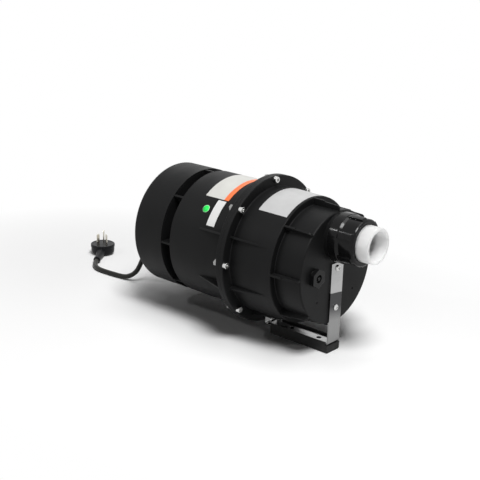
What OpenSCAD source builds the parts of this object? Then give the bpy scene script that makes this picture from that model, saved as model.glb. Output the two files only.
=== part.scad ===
// Through-flow air blower: a brushed motor with a two-stage fan inside a three-part moulded
// housing, with a threaded union at its outlet, standing on a strap bracket and a rubber foot.
// Modules are drawn about the blower's own axis, which runs along X towards the outlet, with
// X = 0 at the front face of the bolted flange. on_axis() then lifts them to where they stand.

/* [Housing] */
// Outer radius of the barrel and the rear cap
body_r = 88; // [86:0.5:90]
// Wall thickness of the mouldings
wall = 3; // [2.6:0.1:3.6]
// Length of the rear cap
cap_length = 54; // [48:1:70]
// Thickness of the rear cap's end wall
cap_end = 3.2; // [3:0.2:5]
// Width of the intake gap between the cap and the barrel
intake_gap = 16.5; // [12:0.5:24]
// Length of the barrel, from the flange face to its rear rim
barrel_length = 111; // [100:1:130]
// Length of the first cylinder of the front housing
first_length = 66.6; // [62:0.2:72]
// How much the first cylinder narrows towards its shoulder
first_draft = 1.5; // [0.5:0.1:2]
// How much smaller the nose's radius is than the barrel's
nose_step = 11.5; // [9:0.5:14]
// Length of the nose
nose_length = 41.2; // [39:0.2:50]
// Thickness of the front wall
face_wall = 5; // [4:0.2:6]

/* [Flange] */
// How far the flange pair stands out of the barrel
flange_width = 14; // [13:0.5:18]
// Thickness of the front housing's flange
front_flange = 6; // [5:0.2:8]
// Thickness of the barrel's flange
rear_flange = 5.7; // [5:0.1:8]
// Distance of the bolt circle inside the flange's rim
bolt_inset = 4.5; // [4:0.25:6]
// Number of flange bolts, and of every kind of rib
bolt_count = 8; // [6:2:8]
// Diameter of the flange bolts
bolt_d = 5; // [4:0.5:5]

/* [Ribs] */
// Thickness of the ribs and gussets
rib_t = 2.6; // [2:0.1:4]
// Distance over which the barrel's gussets climb to the flange
gusset_run = 50; // [30:1:60]
// Height of the low ribs where they meet the front of the flange
low_rib_rise = 6; // [3:0.5:8]
// Distance over which the low ribs run out
low_rib_run = 58; // [40:1:60]
// Height of the nose ribs at their front end
nose_rib_rise = 6.3; // [4:0.1:8]

/* [Outlet] */
// Distance of the outlet's axis below the top of the nose
outlet_inset = 33.6; // [33:0.2:36]
// Outer radius of the tailpiece
tail_r = 24.15; // [22:0.05:26]
// Wall thickness of the tailpiece
tail_wall = 4.65; // [3:0.05:5.5]
// Length of the tailpiece that stands out of the nut
tail_free = 18.4; // [14:0.1:40]
// Length of the plain collar at the foot of the threaded spigot
collar_length = 5.4; // [4:0.1:8]
// Length of the threaded spigot, from the front face
spigot_length = 28.2; // [22:0.1:34]
// Pitch of the union's thread
thread_pitch = 3; // [2:0.25:4]
// Wall thickness of the union nut outside its thread
nut_wall = 2.4; // [2:0.1:4]
// Thickness of the nut's front lip
lip_t = 7; // [5:0.2:9]
// Number of grip lugs round the nut
lug_count = 6; // [4:1:8]
// Thickness of the union's flat seal
union_seal_t = 2; // [1.5:0.1:3]

/* [Bracket] */
// Gap between the flange's rim and the surface it stands on
stand_gap = 15.5; // [15:0.5:24]
// Width of the strap
strap_w = 25; // [20:0.5:25]
// Thickness of the strap
strap_t = 2; // [1.5:0.1:3]
// Room between the strap's top and the outlet's collar
leg_room = 3.45; // [3:0.05:5]
// Distance of the upper bracket screw below the strap's top
screw_inset = 7.5; // [7:0.25:9]
// Height of the lower bracket screw above the bottom of the nose
screw_lift = 21.5; // [18:0.5:30]
// Distance between the two base holes
hole_spacing = 46; // [36:1:50]
// Distance of the front base hole behind the strap's front face
hole_setback = 24.1; // [20:0.1:30]
// Diameter of the base holes
hole_d = 7; // [5:0.5:9]

/* [Foot] */
// Thickness of rubber under the strap
foot_web = 10.5; // [6:0.5:12]
// Width of the foot
foot_w = 27.5; // [27:0.5:34]
// Height of the foot's side lips above the strap
foot_lip = 3; // [1:0.5:5]
// Length of the foot
foot_length = 96.9; // [80:0.5:97]

/* [Fan] */
// Room between the barrel's bore and the fan can
can_room = 13; // [12:0.5:16]
// Sheet thickness of the fan can
can_t = 1.2; // [0.8:0.1:2]
// Length of the fan can
can_length = 46; // [44:1:56]
// Room between the fan can and the tips of both impellers
tip_room = 10; // [8:0.5:14]
// Radius of each impeller's eye
eye_r = 22; // [20:0.5:24]
// Height of the impeller vanes
vane_h = 8; // [6:0.5:9]
// Number of vanes in each impeller
vane_count = 7; // [5:1:9]

/* [Motor] */
// Outer radius of the stator laminations
stator_r = 48; // [46:0.5:49]
// Length of the stator and armature stacks
stack_length = 46; // [40:1:46]
// Radius of the armature
armature_r = 27; // [25:0.5:27.5]
// Radius of the commutator
commutator_r = 14; // [13:0.5:16]
// Radius of the shaft at the fan-end bearing
shaft_r = 5; // [4.5:0.1:5.5]
// Number of armature slots
slot_count = 12; // [8:2:14]

/* [Cord] */
// Diameter of the mains cord
cord_d = 7.5; // [6.5:0.5:8]
// Radius of the plug's face
plug_r = 20; // [18:0.5:22]
// Height of the plug's body
plug_h = 18; // [15:0.5:20]

/* [Clearances] */
// Radial room in the seats of pressed and screwed pieces
seat_gap = 0.05; // [0.02:0.01:0.1]
// Radial room round bolts and screws in plain holes
bolt_gap = 0.25; // [0.1:0.05:0.5]
// Radial room between a bearing and its shaft
run_gap = 0.03; // [0.02:0.01:0.05]
// Room between pieces that move past each other
move_gap = 0.35; // [0.3:0.05:0.5]
// Gap between the two flanges, taken up by the seal
joint_gap = 0.3; // [0.2:0.1:0.6]

/* [Hidden] */
$fn = 96;
step = 360 / bolt_count;
small = 0.01;

// Stations along the axis, from the flange's front face
barrel_x = -barrel_length;
cap_x = barrel_x - intake_gap;
back_x = cap_x - cap_length;
rear_flange_x = -front_flange - joint_gap - rear_flange;
shoulder_x = first_length;
face_x = first_length + nose_length;
first_front_r = body_r - 0.5 - first_draft;
bore_r = body_r - wall;
nose_r = body_r - nose_step;
flange_r = body_r + flange_width;
bolt_circle_r = flange_r - bolt_inset;
axis_height = flange_r + stand_gap;
outlet_rise = nose_r - outlet_inset;
label_half_angle = 40;
bare_angle = 315;

// Union outlet
collar_x = face_x + collar_length;
spigot_x = face_x + spigot_length;
tail_x = spigot_x + union_seal_t;
tail_flange_t = 6;
lip_x = tail_x + tail_flange_t + move_gap;
nut_x = lip_x + lip_t;
tail_end_x = nut_x + tail_free;
tail_neck = 0.6;
tail_chamfer = 0.8;
tail_bore_r = tail_r - tail_wall;
tail_flange_r = tail_r + 3;
thread_r = tail_flange_r + 1.15;
thread_depth = 1.2;
spigot_bore_r = tail_bore_r + 1.5;
nut_bore_r = thread_r + move_gap;
nut_r = nut_bore_r + nut_wall;
rim_r = nut_r + 2.2;
rim_length = 13;
lug_rise = 2;
lug_angle = 16;
lug_first = 36;
collar_r = rim_r - 1.3;
leg_rise = outlet_rise - collar_r - leg_room;
screw_rises = [leg_rise - screw_inset, screw_lift - nose_r];

// Overall frame: the bounding box without the cord is centred over the origin
flange_x = -(tail_end_x + back_x) / 2;

// Rear cap, its screws and the intake
foam_inset = 18;
foam_r = body_r - foam_inset;
foam_t = 8;
lining_t = 6;
post_r = 5.5;
post_room = 4.5;
screw_circle_r = foam_r - foam_t - post_r - post_room;
well_r = 6.8;
well_bore_r = 4.8;
well_floor = 3.5;
cap_screw_r = 2;
cap_head_r = 4;
cap_head_h = 3;
baffle_t = 2.5;
well_x = cap_x - baffle_t;
cap_screw_length = 22;
rear_ring_r = screw_circle_r - post_r - 2.5;
rear_ring_t = 2.5;
rib_seat_r = foam_r + 1;
cap_round = 3;

// Motor stations
can_r = bore_r - can_room;
impeller_r = can_r - tip_room;
can_front_x = -1;
can_x = can_front_x - can_length;
mount_t = 8;
bulkhead_t = 3;
bulkhead_x = can_x - mount_t - bulkhead_t;
inlet_r = 40;
plate_t = 3;
plate_x = can_front_x + plate_t;
grip_w = 3.2;
grip_r = can_r + seat_gap + grip_w;
grip_length = 8;
ring_inner_r = can_r - 7;
stop_x = plate_x + 6;
stop_r = ring_inner_r + 2;
fan_bearing_r = 13;
fan_bearing_w = 8;
brush_bearing_r = 11;
brush_bearing_w = 7;
brush_shaft_r = 4;
fan_shaft_r = 4;
fan_end_length = 23;
stator_x = plate_x + fan_end_length;
stator_front_x = stator_x + stack_length;
bolt_ring_r = stator_r - 4.5;
motor_bolt_r = 2;
motor_post_r = 4;
air_gap = 0.8;
stator_bore_r = armature_r + air_gap;
slot_depth = 9.2;
coil_room = 1.3;
slot_half_angle = 45 - asin((motor_post_r + coil_room) / bolt_ring_r);
armature_slot_r = 3.4;
overhang = 9;
commutator_x = stator_front_x + overhang;
commutator_length = 10;
end_plate_x = commutator_x + commutator_length + 1.5;
end_plate_t = 3;
brush_bearing_x = end_plate_x;
boss_wall = 3;
window_rim = 2;
window_half_angle = 32;
web_run = 12;
web_t = 3;
brush_w = 6;
brush_inset = 1.5;
brush_reach = 13;
brush_x = commutator_x + brush_inset;
brush_length = commutator_length - 2 * brush_inset;
box_wall = 1.2;
box_room = 3;
brush_face_r = commutator_r + move_gap;
brush_back_r = brush_face_r + brush_reach;
holder_back_r = stator_r - 4;
arm_w = 9;
holder_arm_w = 12;

shaft_tail_x = brush_bearing_x + brush_bearing_w + 0.8;

// Leads from the cap to the motor
grommet_r = 5;
lead_hole_r = 26;
lead_pass_r = bore_r - grommet_r - 0.6;
lead_r = 1.2;

// Fan stations
stage_gap = 3;
sheet_t = 1.1;
stage_length = vane_h + 2 * sheet_t;
impeller_1_x = can_x + can_t + stage_gap;
guide_x = impeller_1_x + stage_length + 2;
guide_h = 6;
impeller_2_x = guide_x + guide_h + 2 * sheet_t + 2;
hub_r = 9;
hub_rise = 3;
spacer_r = 7;
shaft_nut_h = 5;
vane_t = 1.2;
vane_centre_r = impeller_r * 0.613;
vane_curve_r = impeller_r * 0.516;

// Flange hardware
head_d = bolt_d * 1.7;
head_h = bolt_d;
nut_af = bolt_d * 1.6;
nut_h = bolt_d * 0.8;
bolt_length = 17.6;
socket_af = bolt_d * 0.8;
groove_r = body_r - 1;
groove_w = 4;
groove_depth = 1.2;

// Front face furniture
hex_y = -46.3;
hex_z = -2.4;
hex_af = 22.5;
hex_h = 6;
hex_thread_r = 8;
washer_t = 1;
pilot_circle_r = 55;
pilot_r = 1.25;
boss_r = 5;
boss_length = 3;
bracket_screw_r = 2;
bracket_head_r = 4.25;
bracket_head_h = 2.6;
bracket_screw_length = 9.5;

// Bracket and foot
strap_top = -axis_height + foot_web + strap_t;
strap_bottom = strap_top - strap_t;
strap_x = face_x + strap_t;
bend_r = 3;
tab_top = -flange_r + 12;
front_hole_x = strap_x - hole_setback;
foot_front_x = strap_x - 0.4;
foot_back_x = foot_front_x - foot_length;
lip_stop = 2.5;
leg_chamfer_y = 9;
leg_chamfer_z = 5.5;

// Cord: where its route runs, as steps along X and Y from the gland and as a share of its height
gland_z = -45;
gland_length = 25;
gland_r = 8.5;
gland_tip_r = 5;
gland_thread_r = 6.5;
cord_start = [flange_x + back_x - gland_length, 0, axis_height + gland_z];
cord_lay = [[0, 0, 1], [-7.4, 0, 1], [-16.4, -0.2, 0.985], [-24.9, -0.8, 0.941],
    [-32.6, -1.5, 0.87], [-38.9, -2.3, 0.776], [-43.7, -2.9, 0.664], [-48.9, -3.7, 0.5],
    [-54.2, -4.5, 0.336], [-58.9, -5.3, 0.224], [-65.3, -6.4, 0.13], [-72.9, -7.7, 0.059],
    [-81.4, -9.1, 0.015], [-90.4, -10.5, 0], [-103.7, -12.3, 0], [-117.1, -13.5, 0],
    [-130.4, -14, 0], [-142.3, -12.4, 0], [-153.4, -7.8, 0.003], [-162.9, -0.5, 0.01],
    [-170.2, 9, 0.023]];
cord_route = [for (p = cord_lay) [cord_start[0] + p[0], p[1],
    cord_d / 2 + p[2] * (cord_start[2] - cord_d / 2)]];
cord_end = cord_route[len(cord_route) - 1];
cord_way = unit(cord_end - cord_route[len(cord_route) - 2]);
plug_reach = 52;
plug_centre = cord_end + plug_reach * cord_way;
plug_turn = atan2(cord_way[1], cord_way[0]);
plug_tail_r = 5.2;
plug_root_r = 8;
pin_length = 17;
earth_length = 20;

// A solid turned about the blower's axis from points [radius, x]
module lathe(points) {
    rotate([0, 90, 0]) rotate_extrude() polygon(points);
}

// The stretch of such a solid from angle a0 to a1, measured from +Y towards +Z
module lathe_arc(points, a0, a1) {
    rotate([a0, 0, 0]) rotate([0, 90, 0]) rotate([0, 0, 90])
        rotate_extrude(angle = a1 - a0) polygon(points);
}

// Plain ring and plain rod along the axis
module ring(x0, x1, outer, inner) {
    lathe([[inner, x0], [outer, x0], [outer, x1], [inner, x1]]);
}
module rod(x0, x1, r, sides = 48) {
    translate([x0, 0, 0]) rotate([0, 90, 0]) cylinder(h = x1 - x0, r = r, $fn = sides);
}

// A flat rib in the plane of the axis, from points [x, radius], on the +Y side
module fin(points, thickness = rib_t) {
    linear_extrude(height = thickness, center = true) polygon(points);
}

// Copies of the children all round the axis, the first one at angle first from +Y
module around(count, first = 0) {
    for (k = [0 : count - 1]) rotate([first + k * 360 / count, 0, 0]) children();
}

// Copies midway between the flange bolts, except at the top, where the labels are
module between_bolts() {
    for (k = [0 : bolt_count - 1]) if (abs((k + 0.5) * step - 90) > label_half_angle)
        rotate([(k + 0.5) * step, 0, 0]) children();
}

// Children moved out to radius r, at the angle of the +Y side
module out(r) {
    translate([0, r, 0]) children();
}

// From the blower's axis to where the blower stands
module on_axis() {
    translate([flange_x, 0, axis_height]) children();
}
module on_outlet() {
    on_axis() translate([0, 0, outlet_rise]) children();
}

// Rear cap: a cup with four screw wells that reach forward to the baffle plate
module rear_cap() {
    color("#232425") on_axis() difference() {
        union() {
            lathe([[0, back_x], [body_r - cap_round, back_x], [body_r - 0.9, back_x + 0.9],
                [body_r, back_x + cap_round], [body_r, cap_x], [bore_r, cap_x],
                [bore_r, back_x + cap_end], [0, back_x + cap_end]]);
            around(4, 45) out(screw_circle_r) rod(back_x + small, well_x, well_r);
            translate([0, 0, gland_z]) rod(back_x + small, back_x + cap_end + 3, gland_r + 4);
        }
        around(4, 45) out(screw_circle_r) {
            rod(back_x - 1, well_x - well_floor, well_bore_r);
            rod(back_x, well_x + 1, cap_screw_r + bolt_gap);
        }
        translate([0, 0, gland_z]) rod(back_x - 1, back_x + cap_end + 4, gland_thread_r + bolt_gap);
    }
}

// Pan-headed screws at the bottom of the wells
module cap_screws() {
    seat_x = well_x - well_floor;
    color("silver") on_axis() around(4, 45) out(screw_circle_r) difference() {
        union() {
            rod(seat_x - cap_head_h, seat_x, cap_head_r);
            rod(seat_x - small, seat_x + cap_screw_length, cap_screw_r);
        }
        cross_recess(seat_x - cap_head_h, cap_head_r);
    }
}

// Cross-shaped driver recess in a head whose outer face is at x
module cross_recess(x, head_r) {
    for (turn = [0, 90]) translate([x, 0, 0]) rotate([turn, 0, 0])
        cube([2.4, head_r * 1.1, head_r * 0.26], center = true);
}

// Plate that closes the cap's chamber, with a hole for the leads
module baffle_plate() {
    color("#2a2b2c") on_axis() difference() {
        rod(cap_x - baffle_t, cap_x, bore_r - seat_gap, 96);
        around(4, 45) out(screw_circle_r) rod(well_x - 1, cap_x + 1, cap_screw_r + bolt_gap);
        lead_side() out(lead_hole_r) rod(well_x - 1, cap_x + 1, grommet_r);
    }
}

// Sound-damping foam that lines the cap
module cap_foam() {
    color("#3b3b3b") on_axis()
        ring(back_x + cap_end, well_x, bore_r - seat_gap, bore_r - lining_t);
}

// Foam ring that the intake air passes through
module intake_foam() {
    color("#1c1c1c") on_axis() ring(cap_x, barrel_x, foam_r, foam_r - foam_t);
}

// Barrel: tube, bolted flange, gussets, bulkhead for the motor and the ribs across the intake
module barrel() {
    color("#232425") on_axis() difference() {
        union() {
            lathe([[rear_ring_r, barrel_x], [body_r - 0.6, barrel_x], [body_r, barrel_x + 0.6],
                [body_r, rear_flange_x], [flange_r - 0.6, rear_flange_x],
                [flange_r, rear_flange_x + 0.6], [flange_r, -front_flange - joint_gap],
                [bore_r, -front_flange - joint_gap], [bore_r, barrel_x + rear_ring_t],
                [rear_ring_r, barrel_x + rear_ring_t]]);
            ring(bulkhead_x, bulkhead_x + bulkhead_t, bore_r + 1, inlet_r);
            around(bolt_count) fin([[cap_x, rib_seat_r], [cap_x, body_r - 0.4],
                [barrel_x + 1, body_r - 0.4], [barrel_x + 1, rib_seat_r]]);
            between_bolts() fin([[rear_flange_x - gusset_run, body_r - 1],
                [rear_flange_x - gusset_run, body_r - 0.3], [rear_flange_x + 1, flange_r - 2.8],
                [rear_flange_x + 1, body_r - 1]]);
            around(bolt_count) fin([[bulkhead_x - 14, bore_r + 1], [bulkhead_x + 1, inlet_r + 14],
                [bulkhead_x + 1, bore_r + 1]]);
            around(4, 45) out(screw_circle_r) rod(cap_x, barrel_x + 1, post_r);
        }
        around(4, 45) out(screw_circle_r)
            rod(cap_x - 1, well_x - well_floor + cap_screw_length + 1, cap_screw_r + seat_gap);
        around(bolt_count) out(bolt_circle_r)
            rod(rear_flange_x - 1, -front_flange, bolt_d / 2 + bolt_gap);
        lead_side() out(lead_pass_r) rod(bulkhead_x - 1, bulkhead_x + bulkhead_t + 1, grommet_r);
    }
}

// Square-section seal in the groove of the front flange
module flange_seal() {
    color("#151515") on_axis()
        ring(-front_flange - joint_gap, -front_flange + groove_depth,
            groove_r + groove_w - seat_gap, groove_r + seat_gap);
}

// Front housing: flange, stepped shell, ribs, front wall and the threaded spigot
module front_housing() {
    color("#232425") difference() {
        union() {
            on_axis() {
                front_shell();
                front_ribs();
                face_bosses();
            }
            on_outlet() spigot();
        }
        on_axis() {
            ring(-front_flange - 1, -front_flange + groove_depth, groove_r + groove_w, groove_r);
            around(bolt_count) out(bolt_circle_r)
                rod(-front_flange - 1, 1, bolt_d / 2 + bolt_gap);
            for (rise = screw_rises) translate([0, 0, rise])
                rod(strap_x - bracket_screw_length - 1, face_x + 1, bracket_screw_r + seat_gap);
            for (a = [-45, -135]) rotate([a, 0, 0]) out(pilot_circle_r)
                rod(face_x - face_wall - boss_length + 2, face_x + 1, pilot_r);
            translate([0, hex_y, hex_z])
                rod(face_x - face_wall - boss_length - 1, face_x + 1, hex_thread_r + seat_gap);
        }
        on_outlet() rod(face_x - face_wall - 1, spigot_x + 1, spigot_bore_r, 96);
    }
}

// Shell of the front housing, from the flange to the front wall
module front_shell() {
    edge = 0.8;
    round = 1.8;
    foot = 0.6;
    lathe([[bore_r, -front_flange], [flange_r, -front_flange], [flange_r, -edge],
        [flange_r - edge, 0], [body_r - 0.5 + foot, 0], [body_r - 0.5, foot],
        [first_front_r, shoulder_x - edge], [first_front_r - edge, shoulder_x],
        [nose_r + foot, shoulder_x], [nose_r, shoulder_x + foot], [nose_r, face_x - round],
        [nose_r - round * 0.3, face_x - round * 0.3], [nose_r - round, face_x], [0, face_x],
        [0, face_x - face_wall], [nose_r - wall, face_x - face_wall],
        [nose_r - wall, shoulder_x - wall], [first_front_r - wall, shoulder_x - wall],
        [bore_r - 0.5, 0]]);
}

// Low ribs in front of the flange, nose ribs, and the stops that hold the motor inside
module front_ribs() {
    rib_step_x = shoulder_x + nose_length * 0.41;
    between_bolts() fin([[-1, body_r - 2], [-1, body_r + low_rib_rise],
        [low_rib_run, first_front_r], [low_rib_run, first_front_r - 1.5]]);
    for (k = [0 : bolt_count - 1]) if (k * step != bare_angle) rotate([k * step, 0, 0])
        fin([[shoulder_x - 1, nose_r - 1], [shoulder_x - 1, first_front_r - 0.3],
            [rib_step_x, first_front_r - 0.7], [rib_step_x, first_front_r - 2.1],
            [face_x - 3.5, nose_r + nose_rib_rise], [face_x - 1.2, nose_r + nose_rib_rise - 1],
            [face_x - 0.3, nose_r + nose_rib_rise - 3.3], [face_x - 0.3, nose_r - 2],
            [face_x - 2, nose_r - 2]]);
    around(bolt_count) fin([[stop_x, bore_r], [stop_x, stop_r], [stop_x + 5, stop_r],
        [shoulder_x - wall - 6, first_front_r - wall - 2], [shoulder_x - wall - 6, bore_r - 1],
        [stop_x + 8, bore_r]]);
}

// Bosses behind the front wall for the screws, the pilot holes and the hex plug
module face_bosses() {
    inner_x = face_x - face_wall;
    for (rise = screw_rises) translate([0, 0, rise])
        rod(inner_x - boss_length, inner_x + 1, boss_r);
    for (a = [-45, -135]) rotate([a, 0, 0]) out(pilot_circle_r)
        rod(inner_x - boss_length + 1, inner_x + 1, boss_r);
    translate([0, hex_y, hex_z]) rod(inner_x - boss_length, inner_x + 1, hex_thread_r + 3);
}

// Collar and threaded spigot of the union, the thread as rings at its pitch
module spigot() {
    turns = floor((spigot_x - collar_x - 2) / thread_pitch);
    root_r = thread_r - thread_depth;
    crest = thread_pitch / 4;
    difference() {
        lathe([[0, face_x - 1], [collar_r, face_x - 1], [collar_r, collar_x - 0.6],
            [collar_r - 0.6, collar_x], [root_r, collar_x],
            for (k = [0 : turns - 1], p = [[root_r, 0.5], [thread_r, 0.5 + crest],
                [thread_r, 0.5 + 2 * crest], [root_r, 0.5 + 3 * crest]])
                [p[0], collar_x + k * thread_pitch + p[1]],
            [root_r, spigot_x - 0.5], [root_r - 0.5, spigot_x], [0, spigot_x]]);
        rod(face_x - 2, spigot_x + 1, spigot_bore_r, 96);
    }
}

// Socket-head bolts round the flange; the lowest one also holds the strap's rear tab
module flange_bolts() {
    color("silver") on_axis() for (k = [0 : bolt_count - 1]) {
        seat_x = is_low(k) ? strap_t : 0;
        rotate([k * step, 0, 0]) out(bolt_circle_r) difference() {
            union() {
                rod(seat_x - bolt_length, seat_x + small, bolt_d / 2);
                translate([seat_x, 0, 0]) rotate([0, 90, 0]) rotate_extrude()
                    polygon([[0, 0], [head_d / 2, 0], [head_d / 2, head_h - 0.5],
                        [head_d / 2 - 0.5, head_h], [0, head_h]]);
            }
            rod(seat_x + head_h * 0.45, seat_x + head_h + 1, socket_af / sqrt(3), 6);
        }
    }
}

// Whether bolt k is the lowest one
function is_low(k) = abs(k * step - 270) < 1;

// Hexagon nuts behind the barrel's flange
module flange_nuts() {
    color("silver") on_axis() around(bolt_count) out(bolt_circle_r) difference() {
        rod(rear_flange_x - nut_h, rear_flange_x, nut_af / sqrt(3), 6);
        rod(rear_flange_x - nut_h - 1, rear_flange_x + 1, bolt_d / 2 + seat_gap);
    }
}

// Union nut: threaded sleeve with a rear rim, grip lugs and a lip that holds the tailpiece
module union_nut() {
    back = collar_x + move_gap;
    rim_end = back + rim_length;
    lip_bore_r = tail_r + move_gap;
    color("#161616") on_outlet() difference() {
        union() {
            lathe([[0, back], [rim_r - 0.6, back], [rim_r, back + 0.6], [rim_r, rim_end - 0.6],
                [rim_r - 0.5, rim_end], [nut_r, rim_end + 3.2], [nut_r, nut_x - 2.2],
                [nut_r - 0.7, nut_x - 0.8], [nut_r - 2, nut_x], [0, nut_x]]);
            around(lug_count, lug_first) lathe_arc([[nut_r - 1, rim_end], [rim_r - 0.6, rim_end],
                [nut_r + lug_rise, rim_end + 2], [nut_r + lug_rise, nut_x - 4],
                [nut_r + 0.4, nut_x - 2], [nut_r - 1, nut_x - 2]], -lug_angle / 2, lug_angle / 2);
        }
        rod(back - 1, lip_x, nut_bore_r, 96);
        rod(lip_x - 1, nut_x + 1, lip_bore_r, 96);
    }
}

// Tailpiece: flanged tube that the pipework is joined to
module tailpiece() {
    neck_x = nut_x + tail_neck;
    color("#e8e8e4") on_outlet() lathe([[tail_bore_r, tail_x], [tail_flange_r, tail_x],
        [tail_flange_r, tail_x + tail_flange_t], [tail_r - tail_neck, tail_x + tail_flange_t],
        [tail_r - tail_neck, neck_x], [tail_r, neck_x], [tail_r, tail_end_x - tail_chamfer],
        [tail_r - tail_chamfer, tail_end_x], [tail_bore_r + tail_chamfer, tail_end_x],
        [tail_bore_r, tail_end_x - tail_chamfer]]);
}

// Flat seal between the spigot and the tailpiece
module union_seal() {
    color("#151515") on_outlet() ring(spigot_x, tail_x, tail_flange_r - 1, spigot_bore_r);
}

// Hexagon plug in the front wall, recessed, with a small spigot in the recess
module hex_plug() {
    seat_x = face_x + washer_t;
    recess_r = 5.5;
    pin_r = 2.2;
    color("#1c1c1c") on_axis() translate([0, hex_y, hex_z]) difference() {
        union() {
            rod(seat_x, seat_x + hex_h, hex_af / sqrt(3), 6);
            rod(face_x - face_wall - boss_length, seat_x + small, hex_thread_r);
        }
        ring(seat_x + hex_h - 3.5, seat_x + hex_h + 1, recess_r, pin_r);
        rod(face_x - face_wall, seat_x + hex_h + 1, 0.9);
    }
}

// Rubber washer under the hexagon plug
module plug_washer() {
    color("#151515") on_axis() translate([0, hex_y, hex_z])
        ring(face_x, face_x + washer_t, hex_af / 2 - 0.6, hex_thread_r + seat_gap);
}

// Strap bracket: leg on the front wall, base over the foot and a tab on the flange
module bracket() {
    color("#b9babb") on_axis() difference() {
        translate([0, strap_w / 2, 0]) rotate([90, 0, 0]) linear_extrude(height = strap_w) {
            translate([face_x, strap_bottom + bend_r + strap_t])
                square([strap_t, leg_rise - strap_bottom - bend_r - strap_t]);
            translate([bend_r + strap_t, strap_bottom])
                square([face_x - 2 * bend_r - strap_t, strap_t]);
            translate([0, strap_bottom + bend_r + strap_t])
                square([strap_t, tab_top - strap_bottom - bend_r - strap_t]);
            translate([face_x - bend_r, strap_bottom + bend_r + strap_t]) corner(-90);
            translate([bend_r + strap_t, strap_bottom + bend_r + strap_t]) corner(180);
        }
        for (rise = screw_rises) translate([0, 0, rise])
            rod(face_x - 1, strap_x + 1, bracket_screw_r + bolt_gap);
        translate([0, 0, -bolt_circle_r]) rod(-1, strap_t + 1, bolt_d / 2 + bolt_gap);
        for (k = [0, 1]) translate([front_hole_x - k * hole_spacing, 0, strap_bottom - 1])
            cylinder(h = strap_t + 2, d = hole_d);
        translate([face_x - 1, strap_w / 2, leg_rise]) rotate([0, 90, 0])
            linear_extrude(height = strap_t + 2) polygon([[-1, 1], [-1, -leg_chamfer_y],
                [0, -leg_chamfer_y], [leg_chamfer_z, 0], [leg_chamfer_z, 1]]);
    }
}

// Quarter of a bend in the strap, seen from the side, starting at angle a
module corner(a) {
    intersection() {
        difference() {
            circle(r = bend_r + strap_t);
            circle(r = bend_r);
        }
        rotate(a) square(bend_r + strap_t + 1);
    }
}

// Pan-headed screws that hold the strap to the front wall
module bracket_screws() {
    color("silver") on_axis() for (rise = screw_rises) translate([0, 0, rise]) difference() {
        union() {
            rod(strap_x - bracket_screw_length, strap_x + small, bracket_screw_r);
            translate([strap_x, 0, 0]) rotate([0, 90, 0]) rotate_extrude()
                polygon([[0, 0], [bracket_head_r, 0], [bracket_head_r, bracket_head_h * 0.4],
                    [bracket_head_r * 0.8, bracket_head_h * 0.8],
                    [bracket_head_r * 0.45, bracket_head_h], [0, bracket_head_h]]);
        }
        cross_recess(strap_x + bracket_head_h, bracket_head_r);
    }
}

// Rubber foot: a channel that the strap's base lies in, without lips at its front end
module foot() {
    base = -axis_height;
    edge = 1.5;
    color("#1a1a1a") on_axis() difference() {
        translate([foot_back_x, 0, base]) rotate([90, 0, 90])
            linear_extrude(height = foot_length) polygon([[-foot_w / 2 + edge, 0],
                [foot_w / 2 - edge, 0], [foot_w / 2, edge],
                [foot_w / 2, foot_web + strap_t + foot_lip],
                [strap_w / 2 + seat_gap, foot_web + strap_t + foot_lip],
                [strap_w / 2 + seat_gap, foot_web], [-strap_w / 2 - seat_gap, foot_web],
                [-strap_w / 2 - seat_gap, foot_web + strap_t + foot_lip],
                [-foot_w / 2, foot_web + strap_t + foot_lip], [-foot_w / 2, edge]]);
        translate([foot_front_x - lip_stop, -foot_w, base + foot_web])
            cube([lip_stop + 1, 2 * foot_w, strap_t + foot_lip + 1]);
        for (k = [0, 1]) translate([front_hole_x - k * hole_spacing, 0, base - 1])
            cylinder(h = foot_web + 2, d = hole_d + 2);
    }
}

// Cord gland: a screwed bush through the cap's end wall with a tapered sleeve behind it
module cord_gland() {
    color("#1a1a1a") on_axis() translate([0, 0, gland_z]) difference() {
        lathe([[0, back_x + cap_end + 9], [gland_thread_r, back_x + cap_end + 9],
            [gland_thread_r, back_x], [gland_r, back_x], [gland_r, back_x - 4],
            [gland_r - 1.5, back_x - 6], [gland_tip_r, back_x - gland_length],
            [0, back_x - gland_length]]);
        rod(back_x + 2, back_x + cap_end + 10, cord_d / 2);
    }
}

// Nut that clamps the gland inside the cap
module gland_nut() {
    seat_x = back_x + cap_end + 3;
    color("#1a1a1a") on_axis() translate([0, 0, gland_z]) difference() {
        rod(seat_x, seat_x + 4, gland_thread_r + 4, 6);
        rod(seat_x - 1, seat_x + 5, gland_thread_r + seat_gap);
    }
}

// Points of a ring of radius r about a point of a route, square to its direction
function unit(v) = v / norm(v);
function heading(route, i) = unit(route[min(i + 1, len(route) - 1)] - route[max(i - 1, 0)]);
function side_of(d) = unit(cross(d, abs(d[2]) > 0.9 ? [1, 0, 0] : [0, 0, 1]));
function ring_points(centre, d, r, sides) = [for (k = [0 : sides - 1])
    centre + r * (cos(k * 360 / sides) * side_of(d) + sin(k * 360 / sides) * cross(side_of(d), d))];

// A round tube swept along a route, closed at both ends
module swept(route, r, sides) {
    last = len(route) - 1;
    points = [for (i = [0 : last]) each ring_points(route[i], heading(route, i), r, sides)];
    walls = [for (i = [0 : last - 1], k = [0 : sides - 1], half = [0, 1]) half == 0
        ? [i * sides + k, i * sides + (k + 1) % sides, (i + 1) * sides + (k + 1) % sides]
        : [i * sides + k, (i + 1) * sides + (k + 1) % sides, (i + 1) * sides + k]];
    start = [for (k = [sides - 1 : -1 : 0]) k];
    end = [for (k = [0 : sides - 1]) last * sides + k];
    polyhedron(points = points, faces = concat(walls, [start, end]), convexity = 6);
}

// Mains cord, from the gland to the plug
module cord() {
    color("#1d1d1b") swept(cord_route, cord_d / 2, 10);
}

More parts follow.
